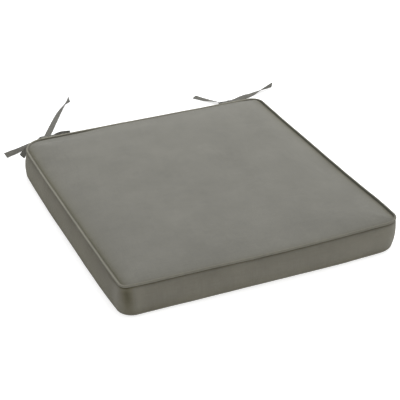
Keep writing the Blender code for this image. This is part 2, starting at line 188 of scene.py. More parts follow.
# ---- materials ----
class Nodes:
    """A new material, and one-line ways to add and link its nodes."""

    def __init__(self, name):
        self.material = bpy.data.materials.new(name)
        self.material.use_nodes = True
        self.tree = self.material.node_tree
        self.shader = self.tree.nodes["Principled BSDF"]
        self.place = self.add("ShaderNodeTexCoord").outputs["Object"]

    def add(self, kind, inputs=None, **settings):
        node = self.tree.nodes.new(kind)
        for key, value in settings.items():
            setattr(node, key, value)
        for key, value in (inputs or {}).items():
            self.plug(value, node.inputs[key])
        return node

    def plug(self, value, socket):
        if isinstance(value, bpy.types.NodeSocket):
            self.tree.links.new(value, socket)
        else:
            socket.default_value = value

    def set(self, **values):
        """Links or sets the shader's own inputs; an underscore stands for a space."""
        for key, value in values.items():
            self.plug(value, self.shader.inputs[key.replace("_", " ")])

    def math(self, operation, first, second=0.0, third=0.0):
        return self.add("ShaderNodeMath", {0: first, 1: second, 2: third}, operation=operation).outputs[0]

    def mix(self, share, first, second):
        node = self.add("ShaderNodeMix", data_type="RGBA")
        self.plug(share, node.inputs["Factor"])
        self.plug(first, node.inputs[6])
        self.plug(second, node.inputs[7])
        return node.outputs[2]

    def noise(self, vector, scale, detail=2.0, roughness=0.5):
        return self.add("ShaderNodeTexNoise", {"Vector": vector, "Scale": scale, "Detail": detail,
                                               "Roughness": roughness}).outputs["Fac"]

    def stretch(self, vector, scale, rotation=(0.0, 0.0, 0.0)):
        return self.add("ShaderNodeMapping", {"Vector": vector, "Scale": scale,
                                              "Rotation": rotation}).outputs["Vector"]

    def remap(self, value, low, high, out_low=0.0, out_high=1.0):
        return self.add("ShaderNodeMapRange", {"Value": value, "From Min": low, "From Max": high,
                                               "To Min": out_low, "To Max": out_high}).outputs[0]

    def bump(self, height, distance, strength=1.0, normal=None):
        inputs = {"Height": height, "Distance": distance, "Strength": strength}
        if normal is not None:
            inputs["Normal"] = normal
        return self.add("ShaderNodeBump", inputs).outputs["Normal"]


def weave_height(n, u, v, pitch):
    """Plain weave: warp threads show on one colour of a checkerboard and weft threads on the other."""
    wave_u = n.math("SINE", n.math("MULTIPLY", u, math.pi / pitch))
    wave_v = n.math("SINE", n.math("MULTIPLY", v, math.pi / pitch))
    over = n.math("GREATER_THAN", n.math("MULTIPLY", wave_u, wave_v), 0.0)
    warp = n.math("ABSOLUTE", wave_u)
    weft = n.math("ABSOLUTE", wave_v)
    difference = n.math("SUBTRACT", warp, weft)
    return n.math("MULTIPLY_ADD", over, difference, weft), over


def canvas(name, colour, pitch=WEAVE, bias=0.0, mottle=0.075, slub=0.10, bump=0.00018):
    """Woven outdoor canvas: threads, slubs along both thread directions, soft uneven colour, painted shade
    between the threads, and painted shade and highlights from the crease and ridge attributes.
    """
    n = Nodes(name)
    uv = n.add("ShaderNodeUVMap", uv_map="cloth").outputs["UV"]
    turned = n.stretch(uv, (1.0, 1.0, 1.0), (0.0, 0.0, math.radians(bias)))
    parts = n.add("ShaderNodeSeparateXYZ", {"Vector": turned})
    height, over = weave_height(n, parts.outputs[0], parts.outputs[1], pitch)
    slub_warp = n.noise(n.stretch(turned, (900.0, 28.0, 1.0)), 1.0, 3.0)
    slub_weft = n.noise(n.stretch(turned, (28.0, 900.0, 1.0)), 1.0, 3.0)
    slubs = n.mix(over, slub_weft, slub_warp)
    cloudy = n.noise(n.place, 16.0, 4.0, 0.6)
    patchy = n.noise(n.place, 90.0, 3.0, 0.6)
    tone = n.math("ADD", n.remap(cloudy, 0.3, 0.7, 1.0 - mottle, 1.0 + mottle),
                  n.remap(patchy, 0.3, 0.7, -mottle * 0.5, mottle * 0.5))
    tone = n.math("MULTIPLY", tone, n.remap(slubs, 0.3, 0.7, 1.0 - slub, 1.0 + slub))
    # Painted shade: the weave's hollows between the threads are coloured darker.
    tone = n.math("MULTIPLY", tone, n.remap(height, 0.0, 1.0, 0.80, 1.08))
    # Painted light from two attributes: crease is painted shade (painted light where it is negative), ridge is
    # the piping's painted highlight and painted shade.
    painted_shade = n.add("ShaderNodeAttribute", attribute_name="crease").outputs["Fac"]
    wear_and_painted_light = n.add("ShaderNodeAttribute", attribute_name="ridge").outputs["Fac"]
    tone = n.math("MULTIPLY", tone, n.math("ADD", n.math("SUBTRACT", 1.0, painted_shade), wear_and_painted_light))
    # The painted shade is tinted olive.
    olive = (colour[0] * 1.03, colour[1] * 0.975, colour[2] * 0.66, 1.0)
    base = n.mix(n.remap(painted_shade, 0.0, 0.65), (*colour, 1.0), olive)
    rough = n.bump(n.noise(n.place, 420.0, 3.0, 0.7), 0.0002, 0.35)
    n.set(Base_Color=n.add("ShaderNodeVectorMath", {0: base, "Scale": tone}, operation="SCALE").outputs[0],
          Roughness=n.remap(patchy, 0.3, 0.7, 0.82, 0.95), Sheen_Weight=0.12, Sheen_Roughness=0.5,
          Specular_IOR_Level=0.25, Normal=n.bump(height, bump, 0.8, rough))
    return n.material


def foam_material():
    """Open-cell foam: a field of small pits, its cream colour darker towards the middle of each pit (painted
    shade).
    """
    n = Nodes("foam")
    cells = n.add("ShaderNodeTexVoronoi", {"Vector": n.place, "Scale": 700.0}).outputs["Distance"]
    # Painted shade: darker towards the middle of each pit.
    tone = n.mix(n.remap(cells, 0.0, 0.6), (0.50, 0.42, 0.24, 1.0), (0.78, 0.70, 0.48, 1.0))
    n.set(Base_Color=tone, Roughness=0.95, Normal=n.bump(cells, 0.0006))
    return n.material


def fibre_material():
    """Polyester batting or braided filler cord: fine tangled strands."""
    n = Nodes("fibre")
    strands = n.noise(n.stretch(n.place, (1.0, 4.0, 2.0)), 260.0, 6.0, 0.75)
    tone = n.mix(n.remap(strands, 0.3, 0.7), (0.66, 0.66, 0.63, 1.0), (0.86, 0.86, 0.84, 1.0))
    n.set(Base_Color=tone, Roughness=0.9, Sheen_Weight=0.3, Normal=n.bump(strands, 0.0008))
    return n.material


def tape_material():
    """Woven zip tape: fine ribs along its length and a twill across them."""
    n = Nodes("zip_tape_weave")
    parts = n.add("ShaderNodeSeparateXYZ", {"Vector": n.place})
    height, _ = weave_height(n, parts.outputs[0], parts.outputs[2], 0.0005)
    cloudy = n.noise(n.place, 120.0, 3.0)
    # Painted shade: the weave's hollows are coloured darker.
    tone = n.mix(n.math("MULTIPLY", height, cloudy), (0.062, 0.060, 0.052, 1.0), (0.150, 0.145, 0.125, 1.0))
    n.set(Base_Color=tone, Roughness=0.8, Normal=n.bump(height, 0.0002))
    return n.material


def nylon_material():
    """Satin nylon coil, slightly uneven where the slider has rubbed it."""
    n = Nodes("zip_nylon")
    wear_and_painted_light = n.noise(n.place, 300.0, 3.0)
    tone = n.mix(wear_and_painted_light, (0.070, 0.066, 0.056, 1.0), (0.135, 0.128, 0.108, 1.0))
    n.set(Base_Color=tone, Roughness=n.remap(wear_and_painted_light, 0.3, 0.7, 0.35, 0.55))
    return n.material


def metal_material():
    """Bronze-painted zinc with paint rubbed thin in places."""
    n = Nodes("zip_metal")
    wear_and_painted_light = n.remap(n.noise(n.place, 520.0, 4.0, 0.65), 0.56, 0.68)
    tone = n.mix(wear_and_painted_light, (0.115, 0.105, 0.088, 1.0), (0.420, 0.400, 0.360, 1.0))
    n.set(Base_Color=tone, Metallic=0.85, Roughness=n.remap(wear_and_painted_light, 0.0, 1.0, 0.42, 0.28),
          Normal=n.bump(n.noise(n.place, 1500.0, 2.0), 0.00005, 0.4))
    return n.material


MATERIALS = {
    "panel": canvas("canvas_panel", (0.163, 0.160, 0.139)),
    # The band is the panel's canvas made darker and more olive: painted shade on the side faces.
    "band": canvas("canvas_band", (0.158, 0.150, 0.121)),
    "piping": canvas("canvas_piping", (0.166, 0.159, 0.128), bias=45.0),
    "tie": canvas("canvas_tie", (0.118, 0.115, 0.100), pitch=0.0011, bias=38.0, slub=0.25, bump=0.0003),
    "thread": canvas("thread", (0.050, 0.045, 0.030), pitch=0.0004, bias=30.0, mottle=0.05),
    "foam": foam_material(),
    "fibre": fibre_material(),
    "tape": tape_material(),
    "nylon": nylon_material(),
    "metal": metal_material(),
}


# ---- ties: the cords of this object ----
LEFT_OUT, LEFT_IN = -TIE_ROOT_X - TIE_ROOT_STEP, -TIE_ROOT_X + TIE_ROOT_STEP
RIGHT_IN, RIGHT_OUT = TIE_ROOT_X - TIE_ROOT_STEP, TIE_ROOT_X + TIE_ROOT_STEP


def route(root_x, root_z, points):
    """A strap's route in metres; its points after the root are given in tenths of a millimetre."""
    return [(root_x, REAR_Y + GAP, root_z, 0)] + [(x / 1e4, y / 1e4, z / 1e4, turn) for x, y, z, turn in points]


TIE_ROUTES = {   # root, then x, y, height (raised to rest on the surface where lower) and twist in degrees
    "tie_left_long": route(LEFT_IN, TIE_UPPER_Z, [
        (-1730, 2690, 470, 0), (-1728, 2820, 425, 0), (-1720, 2945, 335, 0), (-1712, 3060, 225, 0),
        (-1700, 3175, 120, 0), (-1677, 3300, 45, 0), (-1640, 3440, 0, 0), (-1590, 3560, 0, 0),
        (-1431, 3826, 0, 4), (-1266, 4097, 0, 11), (-1087, 4379, 0, 23), (-968, 4546, 0, 36),
        (-856, 4685, 0, 53), (-778, 4770, 0, 76), (-708, 4849, 0, 106)]),
    "tie_left_inner": route(LEFT_IN, TIE_LOWER_Z, [
        (-1728, 2660, 445, 0), (-1712, 2755, 375, 0), (-1690, 2835, 280, 0), (-1662, 2910, 185, 5),
        (-1640, 2990, 110, 20), (-1628, 3080, 80, 45), (-1620, 3180, 70, 70), (-1590, 3290, 72, 82),
        (-1520, 3372, 78, 86), (-1430, 3412, 82, 88), (-1330, 3428, 82, 88), (-1245, 3424, 80, 88),
        (-1178, 3403, 78, 88)]),
    "tie_left_outer": route(LEFT_OUT, TIE_UPPER_Z, [
        (-1870, 2690, 470, 0), (-1865, 2810, 435, 0), (-1865, 2925, 365, 0), (-1880, 3035, 280, 0),
        (-1925, 3125, 200, -10), (-2000, 3185, 145, -12), (-2090, 3220, 95, -2), (-2185, 3232, 45, 10),
        (-2350, 3184, 0, 22), (-2524, 3110, 0, 28)]),
    "tie_left_corner": route(LEFT_OUT, TIE_LOWER_Z, [
        (-1873, 2660, 443, 0), (-1890, 2735, 385, 0), (-1925, 2790, 335, 5), (-1980, 2830, 300, 12),
        (-2050, 2855, 270, 22), (-2125, 2865, 235, 32), (-2190, 2865, 190, 38), (-2240, 2870, 140, 40),
        (-2285, 2875, 75, 40)]),
    "tie_right_inner": route(RIGHT_IN, TIE_UPPER_Z, [
        (1730, 2690, 470, 0), (1737, 2820, 430, 0), (1758, 2945, 345, 0), (1795, 3065, 240, 0),
        (1850, 3175, 145, -6), (1915, 3270, 80, -14), (1965, 3370, 45, -22), (1985, 3475, 0, -30),
        (1965, 3580, 0, -32), (1885, 3700, 0, -17), (1794, 3830, 0, -3), (1648, 4033, 0, 6)]),
    "tie_right_outer": route(RIGHT_OUT, TIE_UPPER_Z, [
        (1870, 2690, 470, 0), (1880, 2820, 430, 0), (1905, 2945, 350, 0), (1950, 3065, 255, 0),
        (2015, 3185, 180, -4), (2095, 3300, 125, -10), (2190, 3400, 80, -16), (2300, 3485, 45, -20),
        (2430, 3555, 0, -21), (2570, 3610, 0, -18), (2709, 3662, 0, -5), (2870, 3715, 0, 18),
        (3005, 3745, 0, 42), (3145, 3785, 0, 62), (3278, 3831, 0, 78)]),
    "tie_right_hidden_inner": route(RIGHT_IN, TIE_LOWER_Z, [
        (1728, 2660, 445, 0), (1725, 2755, 380, 0), (1715, 2845, 275, 0), (1690, 2930, 165, 0),
        (1640, 3015, 70, 0), (1560, 3085, 20, 10), (1450, 3125, 0, 25), (1320, 3130, 0, 20),
        (1180, 3110, 0, 0)]),
    "tie_right_hidden_outer": route(RIGHT_OUT, TIE_LOWER_Z, [
        (1872, 2660, 445, 0), (1885, 2745, 375, 0), (1915, 2815, 280, 0), (1960, 2875, 180, 0),
        (2025, 2925, 85, 0), (2110, 2960, 25, 15), (2210, 2970, 0, 30), (2320, 2950, 0, 15),
        (2430, 2910, 0, 0)]),
}


def resting_height(twist):
    """Height of a strap's centreline when its lowest edge lies on the surface."""
    return (TIE_WIDTH * abs(math.sin(twist)) + TIE_THICKNESS * abs(math.cos(twist))) / 2.0 + GAP


def tie_section():
    """(across, through) points of a folded strap: rounded edges and two sunk rows of stitching."""
    half_w, half_t = TIE_WIDTH / 2.0, TIE_THICKNESS / 2.0
    seam, sunk = half_w - 0.0018, half_t - 0.00028
    top = [(half_w - 0.0004, half_t * 0.80), (seam + 0.0005, half_t), (seam, sunk), (seam - 0.0006, half_t),
           (0.0016, half_t * 1.02), (0.0, half_t * 0.94), (-0.0016, half_t * 1.02),
           (-seam + 0.0006, half_t), (-seam, sunk), (-seam - 0.0005, half_t), (-half_w + 0.0004, half_t * 0.80)]
    under = [(across, -through) for across, through in reversed(top)]
    return [(half_w, 0.0)] + top + [(-half_w, 0.0)] + under


def strap_frames(points, step):
    """Centre, across and through directions along a strap, and the length it has."""
    knots = []
    for x, y, lift, twist in points:
        angle = math.radians(twist)
        knots.append((x, y, max(lift, resting_height(angle)), angle))
    line, length = even_spacing(catmull(knots, 16), step)
    frames = []
    for index, row in enumerate(line):
        before, after = line[max(index - 1, 0)], line[min(index + 1, len(line) - 1)]
        along = Vector(after[:3] - before[:3]).normalized()
        level = along.cross(Vector((0.0, 0.0, 1.0))).normalized()
        upright = level.cross(along)
        across = level * math.cos(row[3]) + upright * math.sin(row[3])
        through = upright * math.cos(row[3]) - level * math.sin(row[3])
        centre = Vector(row[:3])
        lowest = (abs(across.z) * TIE_WIDTH + abs(through.z) * TIE_THICKNESS) / 2.0 + GAP
        centre.z = max(centre.z, lowest)
        frames.append((centre, across, through))
    return frames, length


def tie(name, points):
    """Folded canvas strap with a turned and stitched end."""
    frames, length = strap_frames(points, 0.0016)
    section = tie_section()
    rings, count = len(frames), len(section)
    step = length / (rings - 1)
    verts = []
    for index, (centre, across, through) in enumerate(frames):
        from_end = (rings - 1 - index) * step
        wave = 0.00018 * math.sin(index * step / 0.0031 + len(name))
        thick = 1.0 + 0.55 * (from_end < 0.0085) - 0.50 * (abs(from_end - 0.0068) < 0.0009)
        for offset, depth in section:
            edge = abs(offset) / (TIE_WIDTH / 2.0)
            verts.append(centre + across * (offset + wave * edge ** 6 * math.copysign(1.0, offset))
                         + through * (depth * (1.0 + (thick - 1.0) * 0.5)))
    uvs = tube_uvs([ring * step for ring in range(rings)], girth_of(section))
    uvs += [(depth, offset) for offset, depth in section[::-1] + section]
    strap = make_object(name + "_strap", verts, tube_quads(rings, count) + tube_caps(rings, count), uvs,
                        MATERIALS["tie"])
    strap.data.set_sharp_from_angle(angle=math.radians(50.0))
    face_outwards(strap)
    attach(strap, "pad")
    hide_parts(name)
    centres = [tuple(centre) for centre, _, _ in frames]
    true_length = sum((Vector(b) - Vector(a)).length for a, b in zip(centres, centres[1:]))
    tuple(centres[0])


for tie_name, tie_route in TIE_ROUTES.items():
    tie(tie_name, tie_route)


# ---- plan of the cover ----
# Outward shifts of the outline, in mm, at evenly spaced points along each side: the cover is soft, so its
# sides bow a little and its lower edge spreads. Front and rear run from left to right, left and right run
# from front to rear.
SHIFT = {
    ("top", "front"): (-6.5, -4.2, -3.6, -2.4, -1.2, -1.4, -3.0, -5.6, -8.0),
    ("top", "rear"): (0.0, 1.6, 2.0, 2.0, 1.6, 1.2, 0.8, 0.4, 0.0),
    ("top", "left"): (-1.0, 0.0, 0.2, 0.4, 0.6, 0.4, 0.0, -1.2, -3.2),
    ("top", "right"): (6.0, 6.4, 3.4, 1.0, -0.6, -1.8, -3.8, -4.6, -5.2),
    ("base", "front"): (3.4, 2.8, 3.0, 2.8, 2.8, 3.0, 2.8, 0.4, -3.6),
    ("base", "rear"): (0.0, 0.0, 0.0, 0.0, 0.0, 0.0, 0.0, 0.0, 0.0),
    ("base", "left"): (0.6, 4.0, 5.2, 5.2, 5.2, 5.4, 4.6, 3.0, 0.0),
    ("base", "right"): (5.4, 4.2, 2.8, 1.6, 0.6, 0.0, -1.0, -2.0, -3.0),
}
CORNER_RADII = {   # (top, base) for each corner, by the signs of x and y
    (-1, -1): (0.013, 0.025), (1, -1): (0.025, 0.036), (-1, 1): (0.040, 0.042), (1, 1): (0.024, 0.026)}


def plan_point(u, v, inset, level):
    """Point of the outline's plan: u and v run from -1 to 1, level is 0 at the base and 1 at the top."""
    corner = CORNER_RADII[(1 if u >= 0.0 else -1, 1 if v >= 0.0 else -1)]
    radius = max(corner[1] + (corner[0] - corner[1]) * level - inset, 0.004)
    half_x, half_y = HALF_X - inset, HALF_Y - inset
    m = max(abs(u), abs(v), 1e-9)
    ring_r = radius * m ** 6
    x, y = abs(u) * half_x, abs(v) * half_y
    centre_x, centre_y = half_x * m - ring_r, half_y * m - ring_r
    if x > centre_x and y > centre_y:
        if abs(v) / m >= abs(u) / m:
            angle = math.radians(90.0 - 45.0 * (x - centre_x) / ring_r)
        else:
            angle = math.radians(45.0 * (y - centre_y) / ring_r)
        x = centre_x + ring_r * math.cos(angle)
        y = centre_y + ring_r * math.sin(angle)
    return math.copysign(x, u), math.copysign(y, v)


DENSE = np.linspace(-1.0, 1.0, 129)
SMOOTH_SHIFT = {key: catmull([[value] for value in row], 16)[:, 0] * 0.001 for key, row in SHIFT.items()}


def shift_at(level, side, t):
    """Outward shift in metres of one side's outline at t from -1 to 1."""
    top = np.interp(t, DENSE, SMOOTH_SHIFT[("top", side)])
    base = np.interp(t, DENSE, SMOOTH_SHIFT[("base", side)])
    if side == "rear":
        level = level ** 6
    return base + (top - base) * level


def warped(x, y, level):
    """Moves a regular plan point to where the soft cover has it."""
    u, v = min(1.0, max(-1.0, x / HALF_X)), min(1.0, max(-1.0, y / HALF_Y))
    side_x = "right" if x >= 0.0 else "left"
    side_y = "rear" if y >= 0.0 else "front"
    return (x + math.copysign(abs(u) ** 3, x) * shift_at(level, side_x, v),
            y + math.copysign(abs(v) ** 3, y) * shift_at(level, side_y, u))


NX, NY = 2 * round(HALF_X / CELL), 2 * round(HALF_Y / CELL)


def stations(count):
    """Grid lines from -1 to 1, closer together near both ends."""
    steps = [2.0 * k / count - 1.0 for k in range(count + 1)]
    return [math.copysign(1.0 - (1.0 - abs(t)) ** 1.3, t) for t in steps]


ACROSS, ALONG = stations(NX), stations(NY)


def perimeter():
    """Grid cells (i, j) of the boundary, anticlockwise from the middle of the rear side."""
    loop = [(i, NY) for i in range(NX // 2, 0, -1)]
    loop += [(0, j) for j in range(NY, 0, -1)]
    loop += [(i, 0) for i in range(NX)]
    loop += [(NX, j) for j in range(NY)]
    loop += [(i, NY) for i in range(NX, NX // 2, -1)]
    return loop


LOOP_CELLS = perimeter()
LOOP = [(ACROSS[i], ALONG[j]) for i, j in LOOP_CELLS]


def loop_points(inset, level, z):
    """Boundary points of the cover at one inset and height."""
    return [Vector((*warped(*plan_point(u, v, inset, level), level), z)) for u, v in LOOP]


def arc_lengths(points):
    """Distance along a closed loop to each of its points, and once round."""
    total, lengths = 0.0, [0.0]
    for a, b in zip(points, points[1:] + points[:1]):
        total += (b - a).length
        lengths.append(total)
    return lengths


# ---- cover: the whole closed form, simulated as cloth ----
SEAM_DROP = 0.0012        # distance of each edge of the band from the middle of its piping
BAND_TOP, BAND_BASE = TOP_Z - SEAM_DROP, BASE_Z + SEAM_DROP
BAND_INSET = 0.0016       # how far the band lies inside the outline
SEAM_DEPTH = 0.0014       # how far the canvas turns in at a seam
BASE_SPREAD = 0.0006      # how far the band's lower edge stands out
PANEL_INSET = 0.0046      # how far a panel's edge lies inside the outline
BAND_LEVELS = (1.0, 0.955, 0.90, 0.80, 0.675, 0.55, 0.425, 0.30, 0.18, 0.08, 0.0)
BULGE = {"front": 0.0034, "left": 0.0030, "right": 0.0026, "rear": 0.0}
PRESSURE = 4.0
PRESSURE_FRAMES = 20
CAP = 0.0045              # the furthest that a point moves in the simulation
EDGE_REACH = 0.012        # how far in from its edge a panel rises
EDGE_LIFT = 0.0018        # how much higher the panel meets its piping along the front and the rear


def bulge_at(x, y):
    """How far the side band stands out at mid height, which dies away towards the rear placket."""
    share_x, share_y = ramp(abs(x), 0.200, 0.036), ramp(abs(y), 0.222, 0.033)
    side = BULGE["right"] if x > 0.0 else BULGE["left"]
    end = BULGE["rear"] if y > 0.0 else BULGE["front"]
    total = share_x + share_y
    return (side * share_x + end * share_y) / total if total > 0.0 else 0.0


def inward_of(x, y, inset):
    """Distance in from the nearest side of the regular outline, less an inset, and not under 0."""
    return max(min(HALF_X - inset - abs(x), HALF_Y - inset - abs(y)), 0.0)


def crown_height(x, y):
    """Height of the top panel above its edge."""
    across = (1.0 - (x / HALF_X) ** 2) * (1.0 - (y / HALF_Y) ** 2)
    edge = 1.0 - fade(inward_of(x, y, PANEL_INSET), EDGE_REACH)
    return (CROWN_Z - TOP_Z) * (0.46 * edge + 0.18 * across ** 0.6)


def edge_lift(x, y):
    """Extra height of the top panel beside the front and rear piping, where the canvas is pulled over it."""
    inward = HALF_Y - PANEL_INSET - abs(y)
    from_corner = ramp(HALF_X - 0.016 - abs(x), 0.0, 0.030)
    if y > 0.0:
        from_corner *= ramp(x, -0.120, 0.040)
    return EDGE_LIFT * fade(max(inward, 0.0), EDGE_REACH) * from_corner


def cover_form():
    """Vertices, faces and pinned weights of the closed cover: top grid, band rows, bottom grid."""
    verts, pins = [], []
    top, bottom = {}, {}
    for j in range(NY + 1):
        for i in range(NX + 1):
            x, y = plan_point(ACROSS[i], ALONG[j], PANEL_INSET, 1.0)
            edge = i in (0, NX) or j in (0, NY)
            top[(i, j)] = len(verts)
            lift = crown_height(x, y) + edge_lift(x, y)
            verts.append(Vector((*warped(x, y, 1.0), TOP_Z - SEAM_DROP * edge + lift)))
            pins.append(1.0 if edge else 0.0)
    rows = []
    for level in BAND_LEVELS:
        z = BAND_BASE + (BAND_TOP - BAND_BASE) * level
        turned_in = SEAM_DEPTH if level == 1.0 else -BASE_SPREAD if level == 0.0 else 0.0
        line = loop_points(BAND_INSET + turned_in, level, z)
        indices = []
        for point in line:
            out = bulge_at(point.x, point.y) * math.sin(math.pi * level) ** 0.7
            away = Vector((max(abs(point.x) - 0.215, 0.0) * math.copysign(1.0, point.x),
                           max(abs(point.y) - 0.230, 0.0) * math.copysign(1.0, point.y), 0.0))
            rear = point.y > 0.2500 and abs(point.x) < 0.226
            indices.append(len(verts))
            verts.append(point + away.normalized() * out)
            pins.append(1.0 if level in (0.0, 1.0) or rear else 0.0)
        rows.append(indices)
    for j in range(NY + 1):
        for i in range(NX + 1):
            x, y = plan_point(ACROSS[i], ALONG[j], PANEL_INSET, 0.0)
            bottom[(i, j)] = len(verts)
            height = 0.0003 + BASE_Z * fade(inward_of(x, y, PANEL_INSET), 0.006)
            verts.append(Vector((*warped(x, y, 0.0), height)))
            pins.append(1.0)
    return verts, pins, top, rows, bottom


def grid_faces(table, flip):
    faces = []
    for j in range(NY):
        for i in range(NX):
            quad = (table[(i, j)], table[(i + 1, j)], table[(i + 1, j + 1)], table[(i, j + 1)])
            faces.append(quad[::-1] if flip else quad)
    return faces


def ring_faces(upper, lower):
    """Quads between two loops, facing outwards for anticlockwise loops with the first one above."""
    count = len(upper)
    return [(upper[k], lower[k], lower[(k + 1) % count], upper[(k + 1) % count]) for k in range(count)]


def simulate(verts, faces, pins):
    """Blows the closed cover up against its pinned seams; no point moves more than CAP."""
    obj = make_object("cover_simulation", verts, faces)
    group = obj.vertex_groups.new(name="seams")
    for index, weight in enumerate(pins):
        if weight > 0.0:
            group.add([index], weight, "REPLACE")
    cloth = obj.modifiers.new("cloth", "CLOTH")
    settings = cloth.settings
    settings.quality = 6
    settings.mass = 0.25
    settings.tension_stiffness = 22.0
    settings.compression_stiffness = 12.0
    settings.shear_stiffness = 6.0
    settings.bending_stiffness = 0.35
    settings.tension_damping = 12.0
    settings.bending_damping = 1.0
    settings.air_damping = 4.0
    settings.vertex_group_mass = "seams"
    settings.use_pressure = True
    settings.uniform_pressure_force = PRESSURE
    settings.effector_weights.gravity = 0.0
    cloth.collision_settings.use_collision = False
    cloth.point_cache.frame_end = PRESSURE_FRAMES
    for number in range(1, PRESSURE_FRAMES + 1):
        scene.frame_set(number)
    evaluated = obj.evaluated_get(bpy.context.evaluated_depsgraph_get())
    moved = np.zeros(len(verts) * 3, np.float32)
    evaluated.data.vertices.foreach_get("co", moved)
    moved = moved.reshape(-1, 3).astype(float)
    scene.frame_set(1)
    start = np.array([tuple(v) for v in verts])
    offset = moved - start
    size = np.linalg.norm(offset, axis=1, keepdims=True)
    limited = CAP * np.tanh(size / CAP)
    result = start + offset / np.maximum(size, 1e-9) * limited
    bpy.data.objects.remove(obj)
    return [Vector(row) for row in result]


VERTS, PINS, TOP_GRID, BAND_LOOPS, BOTTOM_GRID = cover_form()
TOP_LOOP, BOTTOM_LOOP = ([table[cell] for cell in LOOP_CELLS] for table in (TOP_GRID, BOTTOM_GRID))
all_faces = grid_faces(TOP_GRID, False) + ring_faces(TOP_LOOP, BAND_LOOPS[0])
for first, second in zip(BAND_LOOPS, BAND_LOOPS[1:]):
    all_faces += ring_faces(first, second)
all_faces += ring_faces(BAND_LOOPS[-1], BOTTOM_LOOP) + grid_faces(BOTTOM_GRID, True)
VERTS = simulate(VERTS, all_faces, PINS)


# ---- canvas pieces cut from the simulated form ----
def settled(obj):
    """Replaces an object's mesh with what its modifiers make of it."""
    mesh = bpy.data.meshes.new_from_object(obj.evaluated_get(bpy.context.evaluated_depsgraph_get()))
    obj.modifiers.clear()
    old = obj.data
    obj.data = mesh
    bpy.data.meshes.remove(old)
    return mesh


def ripple(value, across, seed):
    """Uneven wave from -1 to 1 along a seam, at a place across it."""
    return noise.noise(Vector((value, across, seed)))


def displace(mesh, amount):
    """Moves every vertex along its normal by amount(position)."""
    normals = [v.normal.copy() for v in mesh.vertices]
    for vertex, normal in zip(mesh.vertices, normals):
        vertex.co += normal * amount(vertex.co)
    mesh.update()


def canvas_sheet(name, verts, faces, uvs, material, amount, crease):
    """Thin closed sheet of canvas: subdivided once, moved by amount(), given painted shade by crease(), then
    given its thickness."""
    obj = make_object(name, verts, faces, uvs, material)
    smooth = obj.modifiers.new("smooth", "SUBSURF")
    smooth.levels = smooth.render_levels = 1
    mesh = settled(obj)
    # The crease attribute holds painted shade.
    painted_shade_layer = mesh.attributes.new("crease", "FLOAT", "POINT")
    painted_shade_layer.data.foreach_set("value", [crease(v.co) for v in mesh.vertices])
    displace(mesh, amount)
    shell = obj.modifiers.new("shell", "SOLIDIFY")
    shell.thickness = CLOTH
    shell.offset = -1.0
    settled(obj)
    obj.data.shade_smooth()
    obj.data.set_sharp_from_angle(angle=math.radians(60.0))
    return obj


def stands_for(obj, node=None):
    """Rides on the pad and hides the CAD node it replaces."""
    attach(obj, "pad")
    if node:
        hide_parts(node)


def compact(indices, faces, uv_of):
    """Vertices and faces of a part of the cover, renumbered, with a (u, v) for each corner."""
    new = {old: number for number, old in enumerate(indices)}
    uvs = [uv_of(old) for face in faces for old in face]
    return [VERTS[old] for old in indices], [tuple(new[old] for old in face) for face in faces], uvs


REAR_DENT = (-0.175, HALF_Y - 0.010)   # x and y of the hollow where the left pair of straps pulls


def panel_relief(p):
    """Soft relief of the top panel: broad unevenness, and puckers that run in from the piping."""
    to_side, to_end = HALF_X - abs(p.x), HALF_Y - abs(p.y)
    inward = inward_of(p.x, p.y, PANEL_INSET)
    if to_side < to_end:
        along, seed = p.y, 3.0 + math.copysign(1.0, p.x)
    else:
        along, seed = p.x, 9.0 + math.copysign(1.0, p.y)
    broad = 0.00070 * noise.noise(p * 9.0) + 0.00028 * noise.noise(p * 31.0)
    broad -= 0.0030 * bell(p.y - REAR_DENT[1], 0.014) * bell(p.x - REAR_DENT[0], 0.055)
    pucker = 0.00034 * fade(inward, 0.011) * ripple(along * 62.0, inward * 14.0, seed)
    fine = 0.00012 * fade(inward, 0.006) * ripple(along * 160.0, inward * 30.0, seed)
    return broad * min(1.0, inward / 0.02) + (pucker + fine) * min(1.0, inward / 0.002)


# Painted shade on the top panel beside its piping: strength and reach of a narrow and of a broad crease.
PANEL_CREASE = {"front": (0.12, 0.0016, 0.05, 0.009), "left": (0.36, 0.0030, 0.26, 0.0085),
                "right": (0.60, 0.0036, 0.12, 0.008), "rear": (0.05, 0.0018, 0.02, 0.009)}


def panel_crease(p):
    """Painted shade where the top panel turns down to its piping, deepest along the two sides."""
    total = 0.0
    for side, reach in (("front", p.y), ("rear", -p.y), ("left", p.x), ("right", -p.x)):
        long_side = side in ("left", "right")
        half, place = (HALF_X, p.y / HALF_Y) if long_side else (HALF_Y, p.x / HALF_X)
        away = max(half + shift_at(1.0, side, place) + reach - PANEL_INSET, 0.0)
        near, near_reach, far, far_reach = PANEL_CREASE[side]
        if side == "rear":
            # Painted shade in the hollow where the left pair of straps pulls.
            near += 0.45 * math.exp(-((p.x + 0.150) / 0.050) ** 4)   # by the hollow
        # Painted shade, stronger towards the front right corner.
        if side == "right":
            near += 0.12 * bell(p.y + 0.200, 0.060)
        total = max(total, near * fade(away, near_reach) + far * fade(away, far_reach))
    return total


CORNER_FOLD = (0.0100, -0.0012, 0.0090)   # its place in x, its place in y at the base, and its lean


def corner_fold(p):
    """Share of the upright fold in the band at the front left corner, from 0 to 1."""
    level = (p.z - BAND_BASE) / (BAND_TOP - BAND_BASE)
    away = math.hypot(p.x + HALF_X - CORNER_FOLD[0], p.y + HALF_Y - CORNER_FOLD[1] - CORNER_FOLD[2] * level)
    return bell(away, 0.0088) * bell(p.z - 0.037, 0.021)


